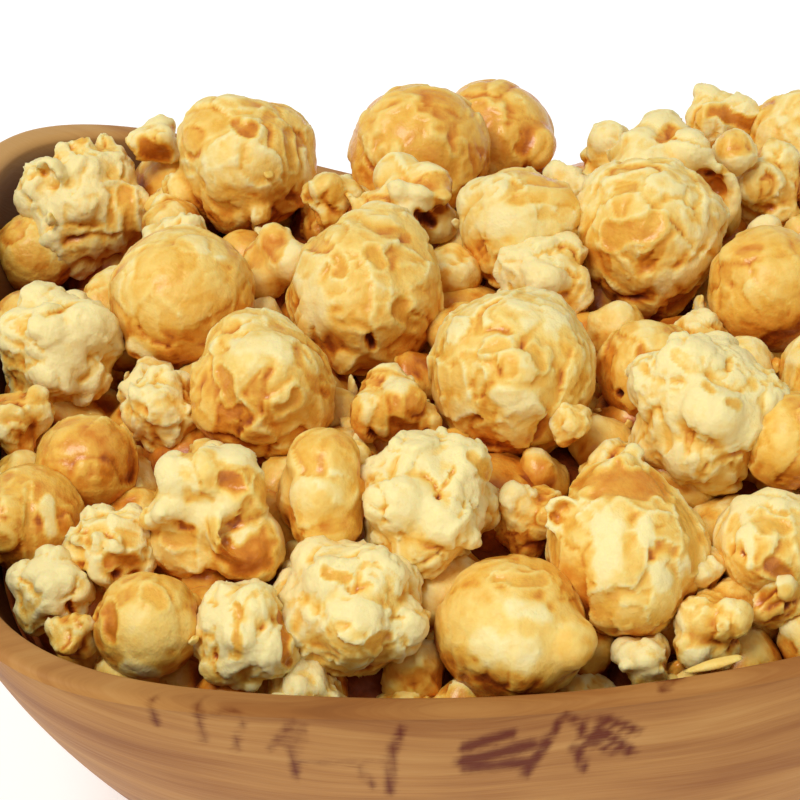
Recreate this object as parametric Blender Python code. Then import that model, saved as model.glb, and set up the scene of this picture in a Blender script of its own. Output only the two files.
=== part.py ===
"""A carved wooden bowl heaped with caramel popcorn, in metres, +Z up.

The origin is at the middle of the bowl's flat foot. X runs along the bowl's length, and
the front of the bowl, where its rim dips, faces -Y.
"""

import math
import random

import bmesh
import bpy
from mathutils import Euler, Vector, noise

MM = 0.001

# The bowl: half length and half width of its rim, and the height of the rim's mean line
HALF_LENGTH = 104 * MM
HALF_WIDTH = 96 * MM
RIM_LEVEL = 77 * MM
# How square the plan is, 2 being an ellipse, and how much narrower the right end is, at
# the rim and at the foot
RIM_SQUARENESS = 4.8
FOOT_SQUARENESS = 2.8
RIM_TAPER = 0.17
FOOT_TAPER = 0.06
# The rim swings up at both ends, higher at the left
END_RISE = 9 * MM
LEFT_RISE = 5 * MM
# Its back dips in the middle, the more narrowly the higher the power
BACK_DIP = 4.5 * MM
BACK_DIP_POWER = 8
RIM_THICKNESS = 5 * MM
RIM_ROUNDING = 1.6 * MM
RIM_STEPS = 3
# The foot and the floor of the hollow as shares of the rim's plan, and the wall's fullness
FOOT_SHARE = 0.585
HOLLOW_SHARE = 0.52
WALL_FULLNESS = 1.317
FLOOR_THICKNESS = 9 * MM
BOWL_SIDES = 56
OUTER_RINGS = 9
INNER_RINGS = 9

# The heap: its crown above the rim's mean line, its edge below the rim, how flat its top
# is, how much fuller it is towards the back, and the dip at its back left corner
CROWN_RISE = 20 * MM
EDGE_DROP = 12 * MM
TOP_FLATNESS = 3.6
BACK_LIFT = 8 * MM
BACK_ROW = 66 * MM
BACK_SLOPE = 1.0
DIP_X = -85 * MM
DIP_Y = 70 * MM
DIP_DEPTH = 9 * MM
DIP_SPREAD = 25 * MM
# How far out its form goes on, as a share of the rim's plan
FORM_REACH = 1.2
# The core under the kernels, its gap to the bowl and the kernels' gap to the bowl
CORE_DROP = 5 * MM
CORE_GAP = 0.4 * MM
KERNEL_GAP = 1.0 * MM
CORE_RINGS = 6
CORE_TOP_RING = 2
CORE_TOP_SHARE = 0.97
SMALLEST_SOLID_KERNEL = 10.5 * MM

# The front view in which the kernels that show were placed: its middle in pixels, the
# distance and scale at its aim, its height above the horizon and its turn about Z
VIEW_MIDDLE = 400
VIEW_DISTANCE = 900 * MM
VIEW_PIXELS_PER_MM = 5.284
VIEW_FOCUS = VIEW_PIXELS_PER_MM * VIEW_DISTANCE / MM
VIEW_ELEVATION = math.radians(31.38)
VIEW_TURN = math.radians(1.87)
VIEW_AIM_X = -18.1 * MM
VIEW_AIM_Z = 71.7 * MM
VIEW_NEAREST = 780 * MM
VIEW_FARTHEST = 1060 * MM
VIEW_STEP = 0.5 * MM
# How far out, as a share of the rim's plan, a line of sight meets the heap
SIGHT_REACH = 1.1
# Behind the heap's skyline nothing shows above this row of pixels
SKYLINE_ROW = 178
SKYLINE_STEPS = 9
SKYLINE_COVER = 0.92
VIEW_MARGIN = 60
# A kernel hides a seen one when it is nearer than this share of their radii and this depth
HIDING_SHARE = 0.85
HIDING_DEPTH = 3 * MM

# Kernels that show in that view: across and down in pixels, width in mm, how far it lies
# behind the heap's surface in mm, and its kind
SEEN_KERNELS = (
    (85, 210, 27, 0, "craggy"), (155, 138, 11, 0, "small"), (245, 167, 28, 0, "plated"),
    (420, 155, 28, 2, "plated"), (493, 140, 24, 5, "plated"), (366, 290, 31, 0, "plated"),
    (405, 205, 20, 0, "opened"), (520, 228, 24, 0, "craggy"), (650, 240, 30, 0, "plated"),
    (672, 190, 29, 1, "opened"), (725, 120, 15, 4, "small"), (790, 135, 18, 0, "plated"),
    (775, 185, 17, 0, "small"), (545, 285, 19, 5, "craggy"), (770, 290, 24, 0, "round"),
    (10, 245, 17, 0, "round"), (62, 347, 25, 0, "craggy"), (183, 298, 27, 0, "round"),
    (262, 388, 28, 0, "plated"), (512, 372, 31, 0, "plated"), (572, 425, 8, 0, "small"),
    (395, 405, 16, 4, "small"), (650, 372, 20, 6, "round"), (710, 412, 30, 0, "craggy"),
    (790, 440, 18, 0, "round"), (5, 425, 15, 0, "small"), (85, 462, 18, 2, "round"),
    (160, 410, 16, 3, "craggy"), (215, 515, 25, 0, "opened"), (325, 492, 17, 0, "round"),
    (430, 503, 26, 0, "craggy"), (525, 520, 14, 8, "small"), (630, 548, 31, 0, "plated"),
    (705, 570, 9, 0, "small"), (770, 545, 20, 0, "plated"), (30, 520, 20, 0, "round"),
    (50, 590, 16, 0, "craggy"), (70, 635, 9, 0, "small"), (110, 550, 17, 2, "craggy"),
    (148, 625, 19, 0, "round"), (245, 635, 20, 0, "craggy"), (350, 610, 27, 0, "craggy"),
    (512, 630, 27, 0, "round"), (640, 662, 11, 0, "small"), (712, 625, 16, 0, "small"),
    (780, 600, 12, 0, "small"), (616, 158, 14, 0, "small"), (332, 201, 12, 2, "small"),
    (571, 192, 12, 3, "small"),
)
# The rest of the heap, layer by layer: width in mm, how far below the heap's surface in mm
# and how close the kernels lie, 1 being spheres that touch
OTHER_LAYERS = (
    (28, 0, 0.9), (24, 0, 0.88), (20, 1, 0.86), (16, 3, 0.84), (13, 6, 0.82), (20, 10, 0.8),
    (14, 11, 0.8),
)
LOW_LAYER = 8
OTHER_KINDS = ("plated", "plated", "craggy", "round", "opened")
SPOT_SPACING = 5
SPOT_JITTER = 2
WIDTH_SPREAD = 0.07
DEEPEST_BEHIND = 22 * MM
LAYOUT_SEED = 11

# Each kind's lumps and how many a ball has across, how far a kernel is squashed, how finely
# its ball is divided, and the range its shape is drawn from
LUMPS = {"round": 0.05, "plated": 0.09, "craggy": 0.14, "opened": 0.2, "small": 0.12}
LUMP_FREQUENCY = 1.6
SQUASH = 0.12
SHAPE_RANGE = 50
FINE_DETAIL = 2
ROUGH_DETAIL = 1
ROUGH_BELOW = 17.5 * MM
SHAPE_SEED = 6

SHARP_ANGLE = math.radians(40)
WOOD_COLOUR = (0.42, 0.18, 0.07)
WOOD_ROUGHNESS = 0.5
POPCORN_COLOUR = (0.78, 0.45, 0.14)
POPCORN_ROUGHNESS = 0.4


def clear_scene():
    for item in list(bpy.data.objects):
        bpy.data.objects.remove(item, do_unlink=True)


def squareness(fall):
    """How square the plan is, at a fall of 0 at the rim to 1 at the bottom."""
    return RIM_SQUARENESS + (FOOT_SQUARENESS - RIM_SQUARENESS) * fall


def narrowing(x, fall):
    """The width at x as a share of the width at the middle."""
    return 1 - (RIM_TAPER + (FOOT_TAPER - RIM_TAPER) * fall) * x / HALF_LENGTH


def plan_turn(x, y):
    """Angle about the bowl's axis of a place on its plan, before it is narrowed."""
    return math.atan2(y / narrowing(x, 0), x)


def plan_share(x, y, inset, fall=0):
    """How far out a place lies: 1 on the rim's plan, moved in by the inset."""
    power = squareness(fall)
    along = abs(x) / (HALF_LENGTH - inset)
    across = abs(y / narrowing(x, fall)) / (HALF_WIDTH - inset)
    return (along**power + across**power) ** (1 / power)


def plan_point(turn, share, inset, fall=0):
    """A place on the plan of the rim, moved in by the inset and shrunk to the share."""
    power = squareness(fall)
    along = abs(math.cos(turn)) / (HALF_LENGTH - inset)
    across = abs(math.sin(turn)) / (HALF_WIDTH - inset)
    reach = share * (along**power + across**power) ** (-1 / power)
    x = reach * math.cos(turn)
    y = reach * math.sin(turn) * narrowing(x, fall)
    return x, y


def rim_height(turn):
    swing = END_RISE * math.cos(2 * turn) - LEFT_RISE * math.cos(turn)
    dip = BACK_DIP * max(math.sin(turn), 0) ** BACK_DIP_POWER
    return RIM_LEVEL + swing - dip


def wall_share(fall, low_share):
    """The wall's share of the rim's plan at a fall."""
    return low_share + (1 - low_share) * (1 - fall**WALL_FULLNESS) ** (1 / WALL_FULLNESS)


def heap_height(x, y):
    """Height of the kernels' middles over a place on the plan."""
    edge = rim_height(plan_turn(x, y)) - EDGE_DROP
    share = min(plan_share(x, y, RIM_THICKNESS), FORM_REACH)
    dome = (RIM_LEVEL + CROWN_RISE - edge) * (1 - share**TOP_FLATNESS)
    tilt = BACK_LIFT * y / HALF_WIDTH - BACK_SLOPE * max(y - BACK_ROW, 0)
    away = ((x - DIP_X) ** 2 + (y - DIP_Y) ** 2) / (2 * DIP_SPREAD**2)
    return edge + dome + tilt - DIP_DEPTH * math.exp(-away)


def view_point(across, down, depth):
    """The place that the front view shows at a pixel, at a depth from the viewer."""
    right = (across - VIEW_MIDDLE) / VIEW_FOCUS * depth
    up = (VIEW_MIDDLE - down) / VIEW_FOCUS * depth
    beyond = depth - VIEW_DISTANCE
    x = right + VIEW_AIM_X
    y = up * math.sin(VIEW_ELEVATION) + beyond * math.cos(VIEW_ELEVATION)
    z = up * math.cos(VIEW_ELEVATION) - beyond * math.sin(VIEW_ELEVATION)
    turned_x = math.cos(VIEW_TURN) * x + math.sin(VIEW_TURN) * y
    turned_y = math.cos(VIEW_TURN) * y - math.sin(VIEW_TURN) * x
    return Vector((turned_x, turned_y, z + VIEW_AIM_Z))


def view_pixel(point):
    """Where the front view shows a place: across, down and depth."""
    x = math.cos(VIEW_TURN) * point.x - math.sin(VIEW_TURN) * point.y - VIEW_AIM_X
    y = math.sin(VIEW_TURN) * point.x + math.cos(VIEW_TURN) * point.y
    z = point.z - VIEW_AIM_Z
    up = y * math.sin(VIEW_ELEVATION) + z * math.cos(VIEW_ELEVATION)
    depth = VIEW_DISTANCE + y * math.cos(VIEW_ELEVATION) - z * math.sin(VIEW_ELEVATION)
    return VIEW_MIDDLE + VIEW_FOCUS * x / depth, VIEW_MIDDLE - VIEW_FOCUS * up / depth, depth


def place_in_view(across, down, behind):
    """Where a pixel of the front view meets the heap, or its back row, and so far behind."""
    depth = VIEW_NEAREST
    while depth < VIEW_FARTHEST:
        point = view_point(across, down, depth)
        on_heap = point.z < heap_height(point.x, point.y)
        if (on_heap and plan_share(point.x, point.y, 0) < SIGHT_REACH) or point.y > BACK_ROW:
            break
        depth += VIEW_STEP
    return view_point(across, down, depth + behind)


def keep_in_hollow(point, radius):
    """Moves a kernel in from the bowl's wall until it is clear."""
    inset = RIM_THICKNESS + KERNEL_GAP + radius
    share = plan_share(point.x, point.y, inset)
    if share <= 1:
        return point
    return Vector((point.x / share, point.y / share, point.z))


def hides_seen_kernel(point, radius, seen):
    """Whether a kernel would stand in front of one that shows in the front view."""
    across, down, depth = view_pixel(point)
    for other in seen:
        other_across, other_down, other_depth = other["pixel"]
        apart = math.hypot(across - other_across, down - other_down) / VIEW_FOCUS * depth
        close = apart < HIDING_SHARE * (radius + other["radius"])
        if close and depth < other_depth + HIDING_DEPTH:
            return True
    return False


def breaks_skyline(point, radius, seen):
    """Whether a kernel's top shows in the front view above the kernels of the skyline."""
    across, down, depth = view_pixel(point)
    if not -VIEW_MARGIN < across < 2 * VIEW_MIDDLE + VIEW_MARGIN:
        return False
    for step in range(SKYLINE_STEPS):
        angle = math.pi * (step + 0.5) / SKYLINE_STEPS
        edge_across = across + radius * math.cos(angle) * VIEW_FOCUS / depth
        edge_down = down - radius * math.sin(angle) * VIEW_FOCUS / depth
        if edge_down > SKYLINE_ROW:
            continue
        hidden = False
        for other in seen:
            other_across, other_down, other_depth = other["pixel"]
            apart = math.hypot(edge_across - other_across, edge_down - other_down)
            reach = SKYLINE_COVER * other["radius"] * VIEW_FOCUS / other_depth
            hidden = hidden or (apart < reach and depth > other_depth)
        if not hidden:
            return True
    return False


def lower_behind_skyline(point, radius, seen):
    """Sinks a kernel behind the heap's skyline, or gives None where it would be buried."""
    deepest = point.z - DEEPEST_BEHIND
    while breaks_skyline(point, radius, seen):
        point = point - Vector((0, 0, VIEW_STEP))
        if point.z < deepest:
            return None
    return point


def heap_layout():
    """Every kernel of the heap: its middle, radius and kind."""
    kernels = []
    for across, down, width, behind, kind in SEEN_KERNELS:
        radius = width / 2 * MM
        middle = keep_in_hollow(place_in_view(across, down, behind * MM), radius)
        kernels.append({"middle": middle, "radius": radius, "kind": kind, "layer": "seen"})
    seen = [{**kernel, "pixel": view_pixel(kernel["middle"])} for kernel in kernels]
    draw = random.Random(LAYOUT_SEED)
    reach = round(HALF_LENGTH / MM)
    steps = range(-reach, reach, SPOT_SPACING)
    spots = [(x, y) for x in steps for y in steps]
    for width, drop, closeness in OTHER_LAYERS:
        draw.shuffle(spots)
        for spot_x, spot_y in spots:
            x = (spot_x + draw.uniform(-SPOT_JITTER, SPOT_JITTER)) * MM
            y = (spot_y + draw.uniform(-SPOT_JITTER, SPOT_JITTER)) * MM
            radius = width / 2 * MM * draw.uniform(1 - WIDTH_SPREAD, 1 + WIDTH_SPREAD)
            kind = draw.choice(OTHER_KINDS)
            if plan_share(x, y, RIM_THICKNESS + KERNEL_GAP + radius) > 1:
                continue
            middle = Vector((x, y, heap_height(x, y) - drop * MM))
            middle = lower_behind_skyline(middle, radius, seen)
            if middle is None or hides_seen_kernel(middle, radius, seen):
                continue
            if any((middle - other["middle"]).length < closeness * (radius + other["radius"])
                   for other in kernels):
                continue
            layer = "top" if drop < LOW_LAYER else "low"
            kernels.append({"middle": middle, "radius": radius, "kind": kind, "layer": layer})
    return kernels


def add_object(name, shape):
    mesh = bpy.data.meshes.new(name)
    shape.to_mesh(mesh)
    shape.free()
    item = bpy.data.objects.new(name, mesh)
    bpy.context.scene.collection.objects.link(item)
    return item


def bridge_rings(shape, rings):
    """Faces between each ring of points and the next, as split quads."""
    count = len(rings[0])
    for lower, upper in zip(rings, rings[1:]):
        for i in range(count):
            j = (i + 1) % count
            shape.faces.new((lower[i], lower[j], upper[j]))
            shape.faces.new((lower[i], upper[j], upper[i]))


def cap_ring(shape, ring, middle):
    """Closes a ring of points with a fan about a middle point."""
    hub = shape.verts.new(middle)
    for i, point in enumerate(ring):
        shape.faces.new((point, ring[(i + 1) % len(ring)], hub))


def bowl_rings():
    """The bowl's section turned into rings, from its foot up the outside and down the inside."""
    turns = [2 * math.pi * i / BOWL_SIDES for i in range(BOWL_SIDES)]
    rings = []
    for step in range(OUTER_RINGS):
        fall = 1 - step / OUTER_RINGS
        ring = []
        for turn in turns:
            x, y = plan_point(turn, wall_share(fall, FOOT_SHARE), 0, fall)
            ring.append(Vector((x, y, rim_height(turn) * (1 - fall))))
        rings.append(ring)
    for side in (1, -1):
        for step in range(RIM_STEPS):
            angle = math.pi / 2 * step / (RIM_STEPS - 1)
            climb = angle if side > 0 else math.pi / 2 - angle
            across = RIM_ROUNDING * (1 - math.cos(climb))
            drop = RIM_ROUNDING * (1 - math.sin(climb))
            inset = across if side > 0 else RIM_THICKNESS - across
            ring = []
            for turn in turns:
                x, y = plan_point(turn, 1, inset)
                ring.append(Vector((x, y, rim_height(turn) - drop)))
            rings.append(ring)
    for step in range(1, INNER_RINGS + 1):
        rings.append(hollow_ring(turns, step / INNER_RINGS, RIM_THICKNESS, FLOOR_THICKNESS))
    return rings


def hollow_ring(turns, fall, inset, floor):
    """A ring of points on the hollow's wall, or inside it for a larger inset and floor."""
    ring = []
    for turn in turns:
        x, y = plan_point(turn, wall_share(fall, HOLLOW_SHARE), inset, fall)
        ring.append(Vector((x, y, floor + (rim_height(turn) - floor) * (1 - fall))))
    return ring


def build_bowl():
    shape = bmesh.new()
    rings = [[shape.verts.new(point) for point in ring] for ring in bowl_rings()]
    bridge_rings(shape, rings)
    cap_ring(shape, list(reversed(rings[0])), Vector((0, 0, 0)))
    cap_ring(shape, rings[-1], Vector((0, 0, FLOOR_THICKNESS)))
    bowl = add_object("bowl", shape)
    bowl.data.shade_smooth()
    bowl.data.set_sharp_from_angle(angle=SHARP_ANGLE)
    return bowl


def core_top(x, y):
    """Height of the core's top over a place on the plan."""
    return heap_height(x, y) - CORE_DROP


def build_core():
    """The mass of the heap under its kernels: it fills the hollow and rises to a low dome."""
    turns = [2 * math.pi * i / BOWL_SIDES for i in range(BOWL_SIDES)]
    shape = bmesh.new()
    inset = RIM_THICKNESS + CORE_GAP
    floor = FLOOR_THICKNESS + CORE_GAP
    rings = []
    for step in range(INNER_RINGS, CORE_TOP_RING - 1, -1):
        rings.append(hollow_ring(turns, step / INNER_RINGS, inset, floor))
    core_fall = CORE_TOP_RING / INNER_RINGS
    widest = wall_share(core_fall, HOLLOW_SHARE) * CORE_TOP_SHARE
    for step in range(CORE_RINGS):
        ring = []
        for turn in turns:
            x, y = plan_point(turn, widest * (1 - step / CORE_RINGS), inset, core_fall)
            ring.append(Vector((x, y, core_top(x, y))))
        rings.append(ring)
    points = [[shape.verts.new(point) for point in ring] for ring in rings]
    bridge_rings(shape, points)
    cap_ring(shape, list(reversed(points[0])), Vector((0, 0, floor)))
    cap_ring(shape, points[-1], Vector((0, 0, core_top(0, 0))))
    return add_object("popcorn_heap", shape)


def clear_of_bowl(point):
    """Brings a point of a kernel back inside the hollow, clear of the wall's flat facets."""
    rim = rim_height(plan_turn(point.x, point.y))
    fall = min(max((rim - point.z) / (rim - FLOOR_THICKNESS), 0), 1)
    upper = min(math.floor(fall * INNER_RINGS), INNER_RINGS - 1)
    upper_share = wall_share(upper / INNER_RINGS, HOLLOW_SHARE)
    lower_share = wall_share((upper + 1) / INNER_RINGS, HOLLOW_SHARE)
    widest = upper_share + (lower_share - upper_share) * (fall * INNER_RINGS - upper)
    share = plan_share(point.x, point.y, RIM_THICKNESS + KERNEL_GAP, fall)
    if share > widest:
        point.x *= widest / share
        point.y *= widest / share


def build_kernel(kernel, draw):
    """One puffed kernel as a lumpy ball with few sides."""
    shape = bmesh.new()
    detail = ROUGH_DETAIL if kernel["radius"] * 2 < ROUGH_BELOW else FINE_DETAIL
    bmesh.ops.create_icosphere(shape, subdivisions=detail, radius=kernel["radius"])
    turn = Euler([draw.uniform(0, 2 * math.pi) for axis in range(3)]).to_matrix()
    squash = [1 - SQUASH * draw.random() for axis in range(3)]
    seed = Vector([draw.uniform(0, SHAPE_RANGE) for axis in range(3)])
    for point in shape.verts:
        direction = point.co.normalized()
        lump = 1 + LUMPS[kernel["kind"]] * 2 * noise.noise(direction * LUMP_FREQUENCY + seed)
        local = Vector([value * factor for value, factor in zip(point.co * lump, squash)])
        point.co = turn @ local + kernel["middle"]
        clear_of_bowl(point.co)
    return add_object("kernel", shape)


def keep_largest_shell(item):
    """Drops loose scraps and fills the hollows that fusing sealed."""
    shape = bmesh.new()
    shape.from_mesh(item.data)
    shape.verts.ensure_lookup_table()
    unseen = set(shape.verts)
    shells = []
    while unseen:
        start = unseen.pop()
        shell = {start}
        front = [start]
        while front:
            point = front.pop()
            for edge in point.link_edges:
                other = edge.other_vert(point)
                if other in unseen:
                    unseen.remove(other)
                    shell.add(other)
                    front.append(other)
        shells.append(shell)
    shells.sort(key=len)
    for shell in shells[:-1]:
        bmesh.ops.delete(shape, geom=list(shell), context="VERTS")
    shape.to_mesh(item.data)
    shape.free()


def build_heap():
    """The core with the kernels that show fused on."""
    heap = build_core()
    kernels = bpy.data.collections.new("kernels")
    bpy.context.scene.collection.children.link(kernels)
    draw = random.Random(SHAPE_SEED)
    for kernel in heap_layout():
        if kernel["layer"] == "low" or kernel["radius"] * 2 < SMALLEST_SOLID_KERNEL:
            continue
        item = build_kernel(kernel, draw)
        bpy.context.scene.collection.objects.unlink(item)
        kernels.objects.link(item)
    union = heap.modifiers.new("fuse kernels", "BOOLEAN")
    union.operation = "UNION"
    union.operand_type = "COLLECTION"
    union.collection = kernels
    union.solver = "MANIFOLD"
    with bpy.context.temp_override(object=heap, active_object=heap, selected_objects=[heap]):
        bpy.ops.object.modifier_apply(modifier=union.name)
    for item in list(kernels.objects):
        bpy.data.objects.remove(item, do_unlink=True)
    bpy.data.collections.remove(kernels)
    keep_largest_shell(heap)
    return heap


def set_material(item, name, colour, roughness):
    material = bpy.data.materials.new(name)
    material.use_nodes = True
    shader = material.node_tree.nodes["Principled BSDF"]
    shader.inputs["Base Color"].default_value = (*colour, 1)
    shader.inputs["Roughness"].default_value = roughness
    shader.inputs["Metallic"].default_value = 0
    item.data.materials.clear()
    item.data.materials.append(material)


def main():
    clear_scene()
    set_material(build_bowl(), "oiled wood", WOOD_COLOUR, WOOD_ROUGHNESS)
    set_material(build_heap(), "caramel popcorn", POPCORN_COLOUR, POPCORN_ROUGHNESS)


main()
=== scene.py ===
"""The looks of a carved wooden bowl heaped with glazed caramel popcorn."""

import math
import random

import bpy
import numpy as np
from mathutils import Euler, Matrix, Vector, noise

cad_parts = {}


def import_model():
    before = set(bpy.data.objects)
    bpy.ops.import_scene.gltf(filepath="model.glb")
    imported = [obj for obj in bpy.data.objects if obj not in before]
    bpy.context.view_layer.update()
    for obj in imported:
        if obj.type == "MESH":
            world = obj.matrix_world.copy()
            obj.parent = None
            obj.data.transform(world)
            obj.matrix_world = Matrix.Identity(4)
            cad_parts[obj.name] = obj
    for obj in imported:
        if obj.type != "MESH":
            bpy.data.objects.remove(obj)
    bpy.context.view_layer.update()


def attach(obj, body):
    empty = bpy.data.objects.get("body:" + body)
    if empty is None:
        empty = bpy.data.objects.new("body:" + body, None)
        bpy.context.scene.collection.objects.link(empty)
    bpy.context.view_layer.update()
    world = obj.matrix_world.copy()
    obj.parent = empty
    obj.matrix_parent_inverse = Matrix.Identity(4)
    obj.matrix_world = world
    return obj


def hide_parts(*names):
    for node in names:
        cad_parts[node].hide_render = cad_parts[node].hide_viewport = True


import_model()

MM = 0.001

# The bowl's form, as the solid has it
HALF_LENGTH = 104 * MM
HALF_WIDTH = 96 * MM
RIM_LEVEL = 77 * MM
RIM_SQUARENESS = 4.8
FOOT_SQUARENESS = 2.8
RIM_TAPER = 0.17
FOOT_TAPER = 0.06
END_RISE = 9 * MM
LEFT_RISE = 5 * MM
BACK_DIP = 4.5 * MM
BACK_DIP_POWER = 8
RIM_THICKNESS = 5 * MM
RIM_ROUNDING = 1.6 * MM
FOOT_SHARE = 0.585
HOLLOW_SHARE = 0.52
WALL_FULLNESS = 1.317
FLOOR_THICKNESS = 9 * MM

# The heap's form, as the solid has it
CROWN_RISE = 20 * MM
EDGE_DROP = 12 * MM
TOP_FLATNESS = 3.6
BACK_LIFT = 8 * MM
BACK_ROW = 66 * MM
BACK_SLOPE = 1.0
DIP_X = -85 * MM
DIP_Y = 70 * MM
DIP_DEPTH = 9 * MM
DIP_SPREAD = 25 * MM
FORM_REACH = 1.2
KERNEL_GAP = 1.0 * MM

# The front view: its middle in pixels, distance, scale at its aim, height and turn
VIEW_MIDDLE = 400
VIEW_DISTANCE = 900 * MM
VIEW_PIXELS_PER_MM = 5.284
VIEW_FOCUS = VIEW_PIXELS_PER_MM * VIEW_DISTANCE / MM
VIEW_ELEVATION = math.radians(31.38)
VIEW_TURN = math.radians(1.87)
VIEW_AIM_X = -18.1 * MM
VIEW_AIM_Z = 71.7 * MM
VIEW_NEAREST = 780 * MM
VIEW_FARTHEST = 1060 * MM
VIEW_STEP = 0.5 * MM
SIGHT_REACH = 1.1
VIEW_MARGIN = 60
SKYLINE_ROW = 178
SKYLINE_STEPS = 9
SKYLINE_COVER = 0.92
WALL_STEPS = 16
WALL_LEANS = (0, math.radians(30), math.radians(60))
WALL_RETREAT = 0.98
HIDING_SHARE = 0.85
HIDING_DEPTH = 3 * MM

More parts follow.
